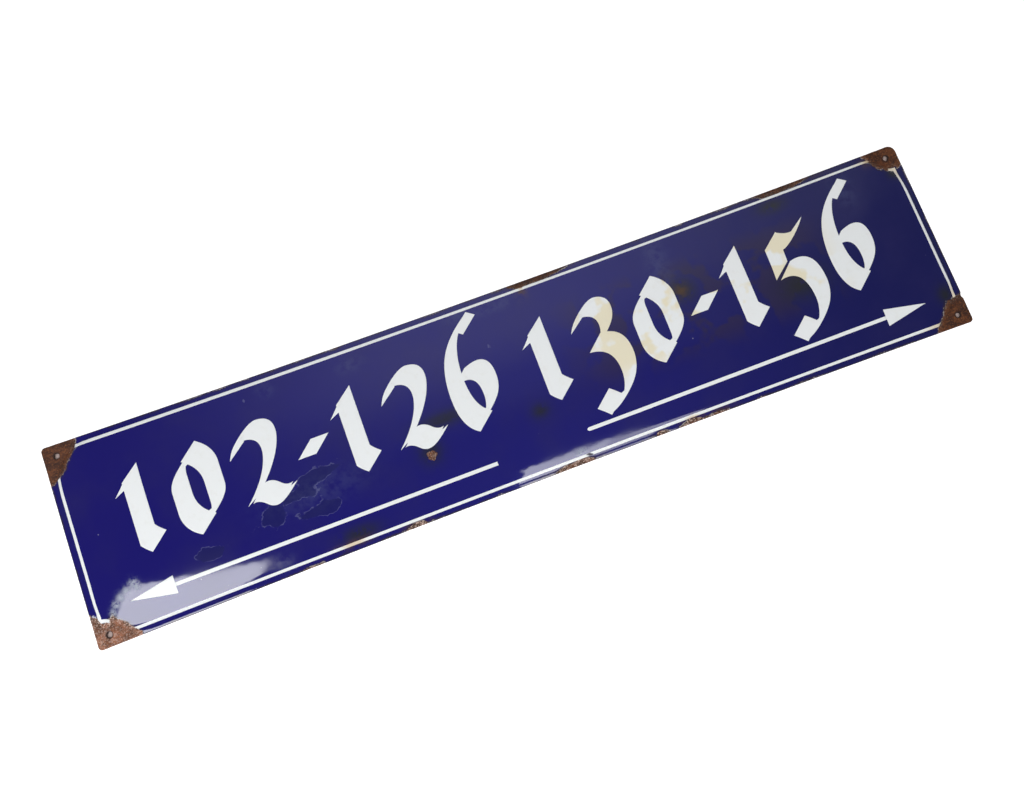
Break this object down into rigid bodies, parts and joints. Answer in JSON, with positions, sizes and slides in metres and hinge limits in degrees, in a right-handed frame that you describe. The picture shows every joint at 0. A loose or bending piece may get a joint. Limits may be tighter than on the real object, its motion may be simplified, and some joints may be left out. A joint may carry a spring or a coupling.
{
  "type": "street name sign",
  "caption": "Pressed and enamelled steel street name sign: a long crowned plate with a rolled rim, flat corner ears and screw holes, lying face up.",
  "frame": {"origin": "under the middle of the plate, on the plane of its lip and its four screw ears, which is the wall when the sign is up", "axes": "+X along the text to the reader's right, +Y towards the sign's top edge, +Z out of the face"},
  "size_m": [0.9, 0.1988, 0.0088],
  "materials": {
    "blue_enamel": "gloss vitreous enamel on steel",
    "white_enamel": "gloss vitreous enamel on steel",
    "rusted_steel": "rough, bare and rusted"
  },
  "bodies": {
    "root": {"sign_plate": "blue_enamel"}
  },
  "joints": []
}
